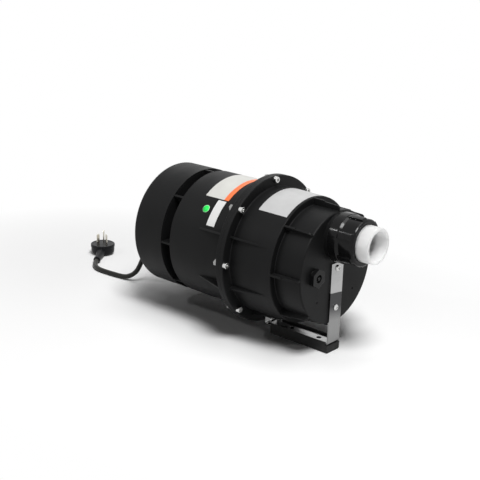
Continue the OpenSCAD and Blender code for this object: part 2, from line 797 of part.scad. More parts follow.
// Round plug lying on its back, with a tapered sleeve where the cord enters its side
module plug_body() {
    color("#202124") union() {
        translate([plug_centre[0], plug_centre[1], 0]) rotate_extrude() polygon([[0, 0],
            [plug_r - 5, 0], [plug_r - 2.5, 1.2], [plug_r - 1, 4], [plug_r, plug_h - 2],
            [plug_r - 0.8, plug_h], [0, plug_h]]);
        translate(cord_end) rotate([0, acos(cord_way[2]), plug_turn])
            cylinder(h = plug_reach, r1 = plug_tail_r, r2 = plug_root_r, $fn = 48);
    }
}

// Two slanted flat pins and an upright earth pin
module plug_pins() {
    pin_w = 6.3;
    pin_t = 1.6;
    spread = 6.9;
    color("#c9b27a") translate([plug_centre[0], plug_centre[1], plug_h])
        rotate([0, 0, plug_turn + 90]) {
        for (side = [-1, 1]) translate([side * spread, 3.8, pin_length / 2])
            rotate([0, 0, side * 60]) cube([pin_w, pin_t, pin_length], center = true);
        translate([0, -9.5, earth_length / 2]) cube([pin_t, pin_w, earth_length], center = true);
    }
}

// Rubber ring between the bulkhead and the fan can
module mount_ring_rear() {
    color("#151515") on_axis() lathe([[ring_inner_r, can_x - mount_t],
        [grip_r, can_x - mount_t], [grip_r, can_x + grip_length],
        [can_r + seat_gap, can_x + grip_length], [can_r + seat_gap, can_x],
        [ring_inner_r, can_x]]);
}

// Rubber ring between the motor's end plate and the stops in the front housing
module mount_ring_front() {
    color("#151515") on_axis() lathe([[can_r + seat_gap, can_front_x - grip_length],
        [grip_r, can_front_x - grip_length], [grip_r, stop_x], [ring_inner_r, stop_x],
        [ring_inner_r, plate_x], [can_r + seat_gap, plate_x]]);
}

// Sheet-metal can round both fan stages, with the eye in its rear face
module fan_can() {
    eye = eye_r + 2;
    color("#c4c6c8") on_axis() lathe([[eye, can_x], [can_r, can_x], [can_r, can_front_x],
        [can_r - can_t, can_front_x], [can_r - can_t, can_x + can_t], [eye + can_t, can_x + can_t],
        [eye + can_t, can_x + 2.2], [eye, can_x + 2.2]]);
}

// Angle along a vane's arc at which it reaches radius r
function vane_angle(r) = acos((pow(vane_centre_r, 2) + pow(vane_curve_r, 2) - r * r)
    / (2 * vane_centre_r * vane_curve_r));

// One vane: an arc from radius r0 to r1, standing from x0 to x1
module vane(r0, r1, x0, x1) {
    a0 = vane_angle(r0);
    a1 = vane_angle(r1);
    out(vane_centre_r) lathe_arc([[vane_curve_r - vane_t / 2, x0], [vane_curve_r + vane_t / 2, x0],
        [vane_curve_r + vane_t / 2, x1], [vane_curve_r - vane_t / 2, x1]], 180 - a1, 180 - a0);
}

// Closed impeller: rear disc with the eye, curved vanes and the driven front disc
module impeller(x) {
    front = x + sheet_t + vane_h;
    bore = fan_shaft_r + seat_gap;
    color("#b7babd") on_axis() {
        ring(x, x + sheet_t, impeller_r, eye_r);
        ring(front, front + sheet_t, impeller_r, bore);
        ring(front - hub_rise, front + sheet_t, hub_r, bore);
        around(vane_count) vane(eye_r + 1.5, impeller_r - 0.8, x + sheet_t / 2,
            front + sheet_t / 2);
    }
}
module impeller_1() {
    impeller(impeller_1_x);
}
module impeller_2() {
    impeller(impeller_2_x);
}

// Still guide wheel between the stages, which turns the air back to the second eye
module diffuser() {
    outer = can_r - can_t - seat_gap;
    end_x = guide_x + 2 * sheet_t + guide_h;
    color("#a9acb0") on_axis() union() {
        ring(guide_x, guide_x + sheet_t, impeller_r + 1, spacer_r + 1.5);
        ring(end_x - sheet_t, end_x, outer, eye_r);
        around(vane_count + 2) mirror([0, 0, 1]) vane(eye_r + 2, impeller_r + 0.6,
            guide_x + sheet_t / 2, end_x - sheet_t / 2);
    }
}

// Spacers between the impellers, and between the second one and the bearing
module fan_spacers() {
    first_end = impeller_1_x + stage_length;
    second_hub = impeller_2_x + sheet_t + vane_h - hub_rise;
    color("#8f9295") on_axis() {
        ring(first_end, second_hub, spacer_r, fan_shaft_r + seat_gap);
        ring(impeller_2_x + stage_length, plate_x, spacer_r, fan_shaft_r + seat_gap);
    }
}

// Hexagon nut that clamps the impellers on the shaft
module shaft_nut() {
    seat_x = impeller_1_x + sheet_t + vane_h - hub_rise;
    color("silver") on_axis() difference() {
        rod(seat_x - shaft_nut_h, seat_x, spacer_r * 1.1, 6);
        rod(seat_x - shaft_nut_h - 1, seat_x + 1, fan_shaft_r + seat_gap);
    }
}

// Stepped shaft
module shaft() {
    nose_x = impeller_1_x - 0.5;
    color("#d0d2d4") on_axis() lathe([[0, nose_x], [fan_shaft_r - 0.5, nose_x],
        [fan_shaft_r, nose_x + 0.5], [fan_shaft_r, plate_x], [shaft_r, plate_x],
        [shaft_r, brush_bearing_x - 0.5], [brush_shaft_r, brush_bearing_x - 0.5],
        [brush_shaft_r, shaft_tail_x - 0.5], [brush_shaft_r - 0.5, shaft_tail_x],
        [0, shaft_tail_x]]);
}

// Shielded ball bearing, from x, of the given bore, outer radius and width
module bearing(x, inner, outer, width) {
    dip = 0.5;
    race = (outer - inner) * 0.22;
    color("#c9cbcd") on_axis() lathe([[inner, x], [inner + race, x], [inner + race, x + dip],
        [outer - race, x + dip], [outer - race, x], [outer, x], [outer, x + width],
        [outer - race, x + width], [outer - race, x + width - dip],
        [inner + race, x + width - dip], [inner + race, x + width], [inner, x + width]]);
}
module bearing_fan_end() {
    bearing(plate_x, shaft_r + run_gap, fan_bearing_r, fan_bearing_w);
}
module bearing_brush_end() {
    bearing(brush_bearing_x, brush_shaft_r + run_gap, brush_bearing_r, brush_bearing_w);
}

// Die-cast bracket that closes the fan can and carries the stator's rear end
module fan_end_bracket() {
    boss = fan_bearing_r + seat_gap + boss_wall;
    window_in = boss + window_rim;
    window_out = bolt_ring_r - motor_post_r + 0.5;
    color("#9fa2a5") on_axis() difference() {
        union() {
            ring(can_front_x, plate_x, can_r, spacer_r + 1.5);
            ring(can_front_x, plate_x + fan_bearing_w, boss, spacer_r + 1.5);
            around(4, 45) out(bolt_ring_r) rod(can_front_x, stator_x, motor_post_r);
            around(4, 45) fin([[plate_x - 1, boss - 1], [plate_x - 1, bolt_ring_r],
                [plate_x + web_run, bolt_ring_r], [plate_x + fan_bearing_w, boss - 1]], web_t);
        }
        rod(plate_x, plate_x + fan_bearing_w + 1, fan_bearing_r + seat_gap);
        around(4, 45) out(bolt_ring_r) rod(can_front_x + 1, stator_x + 1, motor_bolt_r + seat_gap);
        around(4) lathe_arc([[window_in, can_front_x - 1], [window_out, can_front_x - 1],
            [window_out, plate_x + 1], [window_in, plate_x + 1]],
            -window_half_angle, window_half_angle);
    }
}

// Bracket at the commutator's end, with the second bearing
module brush_end_bracket() {
    seat_r = brush_bearing_r + seat_gap;
    boss = seat_r + boss_wall;
    end_x = end_plate_x + end_plate_t;
    color("#9fa2a5") on_axis() difference() {
        union() {
            ring(end_plate_x, end_x, boss + 2, seat_r);
            ring(end_plate_x, end_plate_x + brush_bearing_w, boss, seat_r);
            around(4, 45) fin([[end_plate_x, boss - 1], [end_plate_x, bolt_ring_r],
                [end_x, bolt_ring_r], [end_x, boss - 1]], arm_w);
            around(2) fin([[end_plate_x, boss - 1], [end_plate_x, holder_back_r],
                [end_x, holder_back_r], [end_x, boss - 1]], holder_arm_w);
            around(4, 45) out(bolt_ring_r) rod(stator_front_x, end_x, motor_post_r + 0.5);
        }
        around(4, 45) out(bolt_ring_r) rod(stator_front_x - 1, end_x + 1, motor_bolt_r + seat_gap);
    }
}

// Long bolts that clamp both brackets to the stator
module motor_bolts() {
    seat_x = end_plate_x + end_plate_t;
    color("silver") on_axis() around(4, 45) out(bolt_ring_r) {
        rod(can_front_x + 2, seat_x + small, motor_bolt_r);
        rod(seat_x, seat_x + 3, motor_bolt_r * 1.9, 6);
    }
}

// Two-pole stator stack with a slot on each side for the field coils
module stator_core() {
    slot_r = stator_bore_r + slot_depth;
    color("#6f7174") on_axis() difference() {
        ring(stator_x, stator_front_x, stator_r, stator_bore_r);
        around(2) lathe_arc([[stator_bore_r - 1, stator_x - 1], [slot_r, stator_x - 1],
            [slot_r, stator_front_x + 1], [stator_bore_r - 1, stator_front_x + 1]],
            -slot_half_angle, slot_half_angle);
        around(4, 45) out(bolt_ring_r)
            rod(stator_x - 1, stator_front_x + 1, motor_bolt_r + seat_gap);
    }
}

// Field coils: each one goes round a pole, its sides in the slots and its turns past the ends
module field_coils() {
    inner = stator_bore_r + 1.2;
    outer = stator_bore_r + slot_depth - 0.6;
    turn = overhang - 1.5;
    room = 0.3;
    gap = 5;
    pole = slot_half_angle - 1;
    color("#a4552a") on_axis() around(2) difference() {
        lathe_arc([[inner, stator_x - turn], [outer, stator_x - turn],
            [outer, stator_front_x + turn], [inner, stator_front_x + turn]], gap, 180 - gap);
        lathe_arc([[inner - 1, stator_x - room], [outer + 1, stator_x - room],
            [outer + 1, stator_front_x + room], [inner - 1, stator_front_x + room]],
            pole, 180 - pole);
    }
}

// Armature stack with its slots
module armature_core() {
    slot_mid_r = armature_r - 6;
    color("#7b7d80") on_axis() translate([stator_x + 1, 0, 0]) rotate([90, 0, 90])
        linear_extrude(height = stack_length - 2) difference() {
            circle(r = armature_r);
            circle(r = shaft_r + seat_gap);
            for (k = [0 : slot_count - 1]) rotate(k * 360 / slot_count) {
                translate([slot_mid_r, 0]) circle(r = armature_slot_r, $fn = 24);
                translate([slot_mid_r, -1]) square([8, 2]);
            }
        }
}

// Armature windings: a bar in each slot and the end turns at both ends
module armature_windings() {
    core_end_x = stator_front_x - 1;
    bell = overhang - 2.5;
    color("#b3622c") on_axis() union() {
        around(slot_count) out(armature_r - 6)
            rod(stator_x - 1, core_end_x + 2, armature_slot_r - 0.3, 24);
        for (x = [stator_x + 1 - bell - 0.2, core_end_x + 0.2])
            lathe([[shaft_r + 1, x], [armature_r - 6, x], [armature_r - 3, x + bell * 0.4],
                [armature_r - 3, x + bell], [shaft_r + 1, x + bell]]);
    }
}

// Commutator with its copper segments
module commutator() {
    color("#b87333") on_axis() translate([commutator_x, 0, 0]) rotate([90, 0, 90])
        linear_extrude(height = commutator_length) difference() {
            circle(r = commutator_r);
            circle(r = shaft_r + seat_gap);
            for (k = [0 : 2 * slot_count - 1]) rotate(k * 180 / slot_count)
                translate([commutator_r - 1.6, -0.25]) square([3, 0.5]);
        }
}

// Brush gear on both sides of the commutator: brass boxes, carbon brushes and springs
module brush_holders() {
    tube_w = brush_w + 2 * seat_gap;
    color("#b9a05a") on_axis() around(2) difference() {
        translate([brush_x - box_wall, commutator_r + box_room, -brush_w / 2 - box_wall])
            cube([end_plate_x - brush_x + box_wall, holder_back_r - commutator_r - box_room,
                brush_w + 2 * box_wall]);
        translate([brush_x - seat_gap, commutator_r + box_room - 1, -tube_w / 2])
            cube([brush_length + 2 * seat_gap,
                holder_back_r - commutator_r - box_room + 1 - box_wall, tube_w]);
    }
}
module carbon_brushes() {
    color("#2b2b2d") on_axis() around(2)
        translate([brush_x, brush_face_r, -brush_w / 2])
            cube([brush_length, brush_back_r - brush_face_r, brush_w]);
}
module brush_springs() {
    turns = 4;
    turn_steps = 10;
    coil_r = 2.2;
    wire_r = 0.5;
    length = holder_back_r - box_wall - brush_back_r - 2 * wire_r;
    steps = turn_steps * turns;
    route = [for (i = [0 : steps]) [coil_r * cos(i * 360 / turn_steps),
        brush_back_r + wire_r + length * i / steps, coil_r * sin(i * 360 / turn_steps)]];
    color("#c0c0c0") on_axis() around(2)
        translate([brush_x + brush_length / 2, 0, 0]) swept(route, wire_r, 5);
}

// Terminal block on the baffle plate, inside the cap
module terminal_block() {
    block = [14, 34, 18];
    color("#d8d6cc") on_axis() difference() {
        translate([well_x - block[0], -block[1] / 2, -block[2] / 2]) cube(block);
        for (k = [-1, 0, 1]) translate([0, k * 10, 0])
            rod(well_x - block[0] - 1, well_x - block[0] + 5, 3, 24);
    }
}

// The leads' own side of the housing, between two rows of ribs
module lead_side() {
    rotate([90 - step / 2, 0, 0]) children();
}

// Two leads from the terminal block, past the fan can, to the field coils
module inner_leads() {
    pass = lead_pass_r;
    route = [[well_x - 7, 20, 0], [well_x - 8, 24, 0], [well_x - 5, lead_hole_r, 0],
        [well_x, lead_hole_r, 0], [cap_x + 6, lead_hole_r + 1, 0],
        [barrel_x - 2, lead_hole_r + 5, 0], [barrel_x + 8, lead_hole_r + 14, 0],
        [(barrel_x + bulkhead_x) / 2, (pass + lead_hole_r) / 2 + 8, 0],
        [bulkhead_x - 8, pass - 3, 0], [bulkhead_x, pass, 0], [bulkhead_x + 10, pass, 0],
        [can_x, pass, 0], [can_front_x, pass, 0], [stop_x + 8, pass, 0],
        [stator_x + 8, pass - 6, 0], [stator_front_x - 10, stator_r + 12, 0],
        [stator_front_x + 1, stator_r + 2, 0], [stator_front_x + 5, stator_r - 3, 0],
        [stator_front_x + 5, stator_bore_r + slot_depth - 0.2, 0]];
    color("#3a3f46") on_axis() lead_side() for (side = [-2, 2])
        translate([0, 0, side]) swept(route, lead_r, 8);
}

// Rubber grommets where the leads pass the baffle and the bulkhead
module lead_grommets() {
    color("#151515") on_axis() lead_side() {
        grommet(lead_hole_r, well_x, baffle_t);
        grommet(lead_pass_r, bulkhead_x, bulkhead_t);
    }
}
module grommet(r, x, thickness) {
    out(r) difference() {
        rod(x, x + thickness, grommet_r - seat_gap);
        for (side = [-2, 2]) translate([0, 0, side])
            rod(x - 1, x + thickness + 1, lead_r + 0.3, 24);
    }
}

rear_cap();
cap_screws();
baffle_plate();
cap_foam();
intake_foam();
barrel();
flange_seal();
front_housing();
flange_bolts();
flange_nuts();
union_nut();
tailpiece();
union_seal();
hex_plug();
plug_washer();
bracket();
bracket_screws();
foot();
cord_gland();
gland_nut();
cord();
plug_body();
plug_pins();
mount_ring_rear();
mount_ring_front();
fan_can();
impeller_1();
impeller_2();
diffuser();
fan_spacers();
shaft_nut();
shaft();
bearing_fan_end();
bearing_brush_end();
fan_end_bracket();
brush_end_bracket();
motor_bolts();
stator_core();
field_coils();
armature_core();
armature_windings();
commutator();
brush_holders();
carbon_brushes();
brush_springs();
terminal_block();
inner_leads();
lead_grommets();
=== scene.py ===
import math

import bmesh
import bpy
from mathutils import Matrix, Vector


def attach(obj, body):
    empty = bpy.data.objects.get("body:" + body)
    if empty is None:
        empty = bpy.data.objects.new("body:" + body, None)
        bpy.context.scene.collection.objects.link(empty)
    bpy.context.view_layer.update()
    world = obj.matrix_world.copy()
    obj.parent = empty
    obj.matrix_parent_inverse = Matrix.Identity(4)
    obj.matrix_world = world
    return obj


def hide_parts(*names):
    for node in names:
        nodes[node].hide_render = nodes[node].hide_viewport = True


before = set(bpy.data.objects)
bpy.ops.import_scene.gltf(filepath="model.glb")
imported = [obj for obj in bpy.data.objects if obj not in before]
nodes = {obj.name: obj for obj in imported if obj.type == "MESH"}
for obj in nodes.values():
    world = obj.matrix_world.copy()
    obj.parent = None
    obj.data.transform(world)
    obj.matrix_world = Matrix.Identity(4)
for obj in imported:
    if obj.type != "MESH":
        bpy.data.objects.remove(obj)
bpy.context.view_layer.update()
print("frame loaded:", len(nodes), "nodes")

# Places that the pieces share, in metres: the blower's axis and the flange's front face
axisHeight = 0.1175
flangeX = 0.005875
mm = 0.001

cameraSet = {"place": (0.8269, -1.0140, 0.5498), "azimuth": 40.96, "elevation": 17.9,
             "roll": 1.51, "lens": 75.5, "nearest": 0.01, "farthest": 50}
# Each lamp is given by its power, size and place
lampSet = {"ambient": 0.02, "aim": (0, 0, 0.1),
           "main": (55.0, 0.80, (0.96, -0.72, 2.3)), "overhead": (18.0, 1.2, (0.35, 0.25, 2.6)),
           "accent": (1.2, 0.06, (-0.73, -1.02, 1.08)), "rear": (1.2, 0.8, (-1.5, 1.2, 1.2))}


def makeCamera(values):
    azimuth, elevation, roll = (math.radians(values[key])
                                for key in ("azimuth", "elevation", "roll"))
    back = Vector((math.sin(azimuth) * math.cos(elevation),
                   -math.cos(azimuth) * math.cos(elevation), math.sin(elevation)))
    side = Vector((math.cos(azimuth), math.sin(azimuth), 0))
    up = back.cross(side)
    right = math.cos(roll) * side + math.sin(roll) * up
    top = back.cross(right)
    camera = bpy.data.objects.new("photoCamera", bpy.data.cameras.new("photoCamera"))
    bpy.context.scene.collection.objects.link(camera)
    turn = Matrix((right, top, back)).transposed().to_4x4()
    camera.matrix_world = Matrix.Translation(values["place"]) @ turn
    camera.data.lens = values["lens"]
    camera.data.clip_start, camera.data.clip_end = values["nearest"], values["farthest"]
    bpy.context.scene.camera = camera


def makeLamp(name, power, size, place, aim):
    lamp = bpy.data.objects.new(name, bpy.data.lights.new(name, "AREA"))
    lamp.data.energy, lamp.data.size = power, size
    lamp.location = place
    way = Vector(aim) - Vector(place)       # each lamp looks at the blower's middle
    lamp.rotation_euler = way.to_track_quat("-Z", "Y").to_euler()
    bpy.context.scene.collection.objects.link(lamp)


makeCamera(cameraSet)
for lampName in ("main", "overhead", "accent", "rear"):
    makeLamp(lampName + "Lamp", *lampSet[lampName], lampSet["aim"])
bpy.context.scene.view_settings.view_transform = "Standard"
print("camera and lamps set")


class Signal:                               # a socket that takes part in sums
    def __init__(self, finish, socket):
        self.finish, self.socket = finish, socket

    def sum(self, operation, first, second):
        return self.finish.node("ShaderNodeMath", {"operation": operation}, {0: first, 1: second})

    def __add__(self, other):
        return self.sum("ADD", self, other)

    def __radd__(self, other):
        return self.sum("ADD", other, self)

    def __sub__(self, other):
        return self.sum("SUBTRACT", self, other)

    def __rsub__(self, other):
        return self.sum("SUBTRACT", other, self)

    def __mul__(self, other):
        return self.sum("MULTIPLY", self, other)

    def __rmul__(self, other):
        return self.sum("MULTIPLY", other, self)

    def __gt__(self, other):
        return self.sum("GREATER_THAN", self, other)

    def __lt__(self, other):
        return self.sum("LESS_THAN", self, other)


# Rays of each bevel node, and how far its normal agrees with the face's, on an edge and off it
bevelRays = 4
edgeRange = (0.80, 0.99)


class Finish:                               # one material, built node by node
    def __init__(self, name, colour, roughness, metallic=0.0, more=None):
        self.material = bpy.data.materials.new(name)
        self.material.use_nodes = True
        self.tree = self.material.node_tree
        self.shader = self.tree.nodes["Principled BSDF"]
        self.set("Base Color", (*colour, 1))
        self.set("Roughness", roughness)
        self.set("Metallic", metallic)
        for socket, value in (more or {}).items():
            self.set(socket, value)
        self.place = self.node("ShaderNodeTexCoord", output="Object")

    def set(self, socket, value):
        self.feed(self.shader.inputs[socket], value)

    def fed(self, socket):                  # what already feeds one of the shader's sockets
        return Signal(self, self.shader.inputs[socket].links[0].from_socket)

    def feed(self, socket, value):
        if isinstance(value, Signal):
            self.tree.links.new(value.socket, socket)
        else:
            socket.default_value = value

    def node(self, kind, settings=None, sockets=None, output=0):
        made = self.tree.nodes.new(kind)
        for key, value in (settings or {}).items():
            setattr(made, key, value)
        for key, value in (sockets or {}).items():
            self.feed(made.inputs[key], value)
        return Signal(self, made.outputs[output])

    def vector(self, operation, first, second=None, output=0):
        sockets = {0: first} if second is None else {0: first, 1: second}
        return self.node("ShaderNodeVectorMath", {"operation": operation}, sockets, output)

    def along(self, axis):                  # how far a point lies along X, Y or Z
        return self.node("ShaderNodeSeparateXYZ", None, {0: self.place}, output=axis)

    def noise(self, scale, detail, stretch=None):
        where = self.place
        if stretch is not None:
            where = self.node("ShaderNodeMapping", None, {"Vector": where, "Scale": stretch})
        return self.node("ShaderNodeTexNoise", None,
                         {"Vector": where, "Scale": scale, "Detail": detail})

    def spread(self, signal, low, high, fromLow=0.3, fromHigh=0.7):
        return self.node("ShaderNodeMapRange", None, {
            "Value": signal, "From Min": fromLow, "From Max": fromHigh,
            "To Min": low, "To Max": high})

    def around(self, signal, middle, change):   # a value that wavers about its middle
        return self.spread(signal, middle + change[0], middle + change[1])

    def wave(self, direction, sockets):     # fine bands across one direction
        return self.node("ShaderNodeTexWave", {"wave_type": "BANDS", "bands_direction": direction},
                         {"Vector": self.place, **sockets})

    def mix(self, factor, first, second):   # of two colours, each one a tuple or a signal
        first, second = (side if isinstance(side, Signal) else (*side, 1)
                         for side in (first, second))
        return self.node("ShaderNodeMix", {"data_type": "RGBA"},
                         {0: factor, 6: first, 7: second}, output=2)

    def bump(self, height, strength, distance, rounding=0.0):
        sockets = {"Height": height, "Strength": strength, "Distance": distance}
        if rounding:
            sockets["Normal"] = self.node("ShaderNodeBevel", {"samples": bevelRays},
                                          {"Radius": rounding})
        self.set("Normal", self.node("ShaderNodeBump", None, sockets))

    def edges(self, radius):                # 0 on flat faces, rising to 1 along edges
        rounded = self.node("ShaderNodeBevel", {"samples": bevelRays}, {"Radius": radius})
        flat = self.node("ShaderNodeNewGeometry", output="Normal")
        facing = self.vector("DOT_PRODUCT", rounded, flat, output="Value")
        return self.spread(facing, 1, 0, *edgeRange)


# The floor is white far from the blower, and keeps its shadow near it
floorSet = {"size": 14.0, "drop": 0.0003, "roughness": 0.9, "shine": 0.1,
            "colour": (0.93, 0.93, 0.93), "shownColour": (0.99, 0.99, 0.99),
            "middle": (-0.06, 0, 0), "narrow": (0.62, 1, 1), "nearRadius": 0.20, "farRadius": 0.42}


def deselectAll():
    bpy.ops.object.select_all(action="DESELECT")


def makeFloor(values):
    bpy.ops.mesh.primitive_plane_add(size=values["size"], location=(0, 0, -values["drop"]))
    floor = bpy.context.object
    floor.name = "floor"
    paper = Finish("floorPaper", values["colour"], values["roughness"],
                   more={"Specular IOR Level": values["shine"]})
    seen = paper.node("ShaderNodeLightPath", output="Is Camera Ray")
    paper.set("Base Color", paper.mix(seen, values["colour"], values["shownColour"]))
    away = paper.vector("SUBTRACT", paper.place, values["middle"])
    away = paper.vector("MULTIPLY", away, values["narrow"])
    away = paper.vector("LENGTH", away, output="Value")
    share = paper.spread(away, 0, 1, values["nearRadius"], values["farRadius"])
    shadowed = Signal(paper, paper.shader.outputs[0])
    white = paper.node("ShaderNodeEmission", None, {"Color": (1, 1, 1, 1)})
    both = paper.node("ShaderNodeMixShader", None, {0: share, 1: shadowed, 2: white})
    paper.feed(paper.tree.nodes["Material Output"].inputs["Surface"], both)
    floor.data.materials.append(paper.material)


def makeWorld(values):
    # white where the camera, glossy and transmission rays meet it, dim as a light
    world = bpy.data.worlds.new("studio")
    bpy.context.scene.world = world
    world.use_nodes = True
    tree = world.node_tree
    path = tree.nodes.new("ShaderNodeLightPath")
    rays = [path.outputs[ray] for ray in ("Is Camera Ray", "Is Glossy Ray", "Is Transmission Ray")]
    shown = rays[0]
    for ray in rays[1:]:
        either = tree.nodes.new("ShaderNodeMath")
        either.operation = "MAXIMUM"
        tree.links.new(shown, either.inputs[0])
        tree.links.new(ray, either.inputs[1])
        shown = either.outputs[0]
    level = tree.nodes.new("ShaderNodeMapRange")
    level.inputs["To Min"].default_value = values["ambient"]
    level.inputs["To Max"].default_value = 1.0
    tree.links.new(shown, level.inputs["Value"])
    background = tree.nodes["Background"]
    background.inputs["Color"].default_value = (1, 1, 1, 1)
    tree.links.new(level.outputs[0], background.inputs["Strength"])


deselectAll()
makeFloor(floorSet)
makeWorld(lampSet)
print("floor and world made")


def pickOnly(piece):
    deselectAll()
    piece.select_set(True)
    bpy.context.view_layer.objects.active = piece


def pickFaces(piece, test):                 # selects the faces that pass a test, in edit mode
    form = bmesh.from_edit_mesh(piece.data)
    for vertex in form.verts:
        vertex.select = False
    for edge in form.edges:
        edge.select = False
    for face in form.faces:
        face.select = bool(test(face))
    bmesh.update_edit_mesh(piece.data)


def applyPlace():
    bpy.ops.object.transform_apply(location=True, rotation=True, scale=True)


def smoothUnder(angle):                     # shades edges smooth that turn by less, in degrees
    bpy.ops.object.shade_smooth_by_angle(angle=math.radians(angle))


def runModifier(piece, kind, **settings):
    pickOnly(piece)
    made = piece.modifiers.new(kind.title(), kind)
    for key, value in settings.items():
        setattr(made, key, value)
    bpy.ops.object.modifier_apply(modifier=made.name)


turnedAngle = 35                            # the smooth shading of turned pieces


def drawnOut(name, start, way, profile, sides):
    # a disc that is extruded and scaled ring by ring: profile holds distances and radii, in mm
    profile = [(at * mm, radius * mm) for at, radius in profile]
    deselectAll()
    bpy.ops.mesh.primitive_circle_add(vertices=sides, radius=profile[0][1], fill_type="NGON",
                                      location=(0, 0, profile[0][0]))
    piece = bpy.context.object
    piece.name = name
    applyPlace()
    bpy.ops.object.mode_set(mode="EDIT")
    bpy.ops.mesh.select_all(action="SELECT")
    for (lastAt, lastRadius), (at, radius) in zip(profile, profile[1:]):
        bpy.ops.mesh.extrude_region_move(TRANSFORM_OT_translate={"value": (0, 0, at - lastAt)})
        share = radius / lastRadius
        bpy.ops.transform.resize(value=(share, share, 1), center_override=(0, 0, at))
    bpy.ops.mesh.select_all(action="SELECT")
    bpy.ops.mesh.normals_make_consistent(inside=False)
    bpy.ops.object.mode_set(mode="OBJECT")
    piece.rotation_euler = Vector(way).to_track_quat("Z", "Y").to_euler()
    piece.location = start
    applyPlace()
    smoothUnder(turnedAngle)
    return piece


def dress(piece, finish):
    piece.data.materials.clear()
    piece.data.materials.append(finish.material)


# Steps of the cord's route: X and Y from its start in mm, and the share of its height that is left
cordSet = {
    "diameter": 0.0075,
    "start": (-0.200625, 0.0, 0.0725),
    "resolution": 6,
    "steps": [(0, 0, 1), (-7.4, 0, 1), (-16.4, -0.2, 0.985), (-24.9, -0.8, 0.941),
              (-32.6, -1.5, 0.87), (-38.9, -2.3, 0.776), (-43.7, -2.9, 0.664), (-48.9, -3.7, 0.5),
              (-54.2, -4.5, 0.336), (-58.9, -5.3, 0.224), (-65.3, -6.4, 0.13), (-72.9, -7.7, 0.059),
              (-81.4, -9.1, 0.015), (-90.4, -10.5, 0), (-103.7, -12.3, 0), (-117.1, -13.5, 0),
              (-130.4, -14, 0), (-142.3, -12.4, 0), (-153.4, -7.8, 0.003), (-162.9, -0.5, 0.01),
              (-170.2, 9, 0.023)]}


def cordPoints(values):
    x, y, z = values["start"]
    rest = values["diameter"] / 2
    return [Vector((x + dx * mm, y + dy * mm, rest + share * (z - rest)))
            for dx, dy, share in values["steps"]]


def makeCord(values):
    line = bpy.data.curves.new("mainsCord", "CURVE")
    line.dimensions = "3D"
    spline = line.splines.new("BEZIER")
    points = cordPoints(values)
    spline.bezier_points.add(len(points) - 1)
    for knot, point in zip(spline.bezier_points, points):
        knot.co = point
        knot.radius = values["diameter"] / 2     # the tube's radius, times a bevel of one
        knot.handle_left_type = knot.handle_right_type = "AUTO"
    spline.resolution_u = values["resolution"]
    line.bevel_depth = 1.0
    line.bevel_resolution = values["resolution"]
    line.use_fill_caps = True
    cord = bpy.data.objects.new("mainsCord", line)
    bpy.context.scene.collection.objects.link(cord)
    return cord, points


cord, cordRoute = makeCord(cordSet)
cordEnd = cordRoute[-1]
cordWay = (cordRoute[-1] - cordRoute[-2]).normalized()
print("cord laid")

# Profiles are distances along the piece and radii, in mm
plugSet = {"reach": 0.052, "sides": 96, "sleeveSides": 64,
           "sleeve": [(0, 3.9), (0.2, 5.3), (0.9, 5.7), (5.0, 5.7), (5.8, 5.3), (6.4, 4.7),
                      (9, 4.75), (18, 5.5), (28, 6.6), (40, 8.0), (50, 8.6)],
           "shell": [(0, 13.2), (0.5, 15.2), (1.4, 16.8), (2.8, 18.1), (4.8, 18.9), (7.0, 19.2),
                     (12.6, 19.4), (13.2, 19.9), (16.6, 20.0), (17.5, 19.7), (18.0, 19.0),
                     (18.0, 17.6), (17.6, 17.2)]}


def makePlug(values):
    # a round shell that lies on its back, joined with the sleeve that the cord goes into
    centre = cordEnd + cordWay * values["reach"]
    shell = drawnOut("plugShell", (centre.x, centre.y, 0), (0, 0, 1), values["shell"],
                     values["sides"])
    sleeve = drawnOut("plugSleeve", cordEnd, cordWay, values["sleeve"], values["sleeveSides"])
    runModifier(shell, "BOOLEAN", object=sleeve, operation="UNION", solver="EXACT")
    bpy.data.objects.remove(sleeve)
    pickOnly(shell)
    smoothUnder(turnedAngle)
    return shell, centre


# Blades: width, thickness and length in mm, from the face at the given height
pinSet = {"live": (6.3, 1.6, 17.5), "earth": (1.6, 6.3, 20.5), "tip": 2.2, "tipShare": (0.72, 0.55),
          "rounding": 0.3, "roundingSteps": 3, "face": 18.0, "sunk": 0.5,
          "spread": 6.9, "lift": 3.8, "earthDrop": 9.5, "slant": 60, "smooth": 40}


def makePin(name, size, values):
    # a flat blade whose end is drawn out into a short taper
    width, thick, length = (side * mm for side in size)
    blade = length - values["tip"] * mm
    deselectAll()
    bpy.ops.mesh.primitive_cube_add(size=1, location=(0, 0, blade / 2),
                                    scale=(width, thick, blade))
    pin = bpy.context.object
    pin.name = name
    applyPlace()
    bpy.ops.object.mode_set(mode="EDIT")
    pickFaces(pin, lambda face: face.normal.z > 0.9)
    bpy.ops.mesh.extrude_region_move(TRANSFORM_OT_translate={"value": (0, 0, length - blade)})
    bpy.ops.transform.resize(value=(*values["tipShare"], 1), center_override=(0, 0, length))
    bpy.ops.object.mode_set(mode="OBJECT")
    runModifier(pin, "BEVEL", width=values["rounding"] * mm, segments=values["roundingSteps"],
                limit_method="ANGLE")
    return pin


def placePin(pin, place, turn, smooth):
    pickOnly(pin)
    pin.matrix_world = Matrix.Translation(place) @ Matrix.Rotation(turn, 4, "Z")
    applyPlace()
    smoothUnder(smooth)


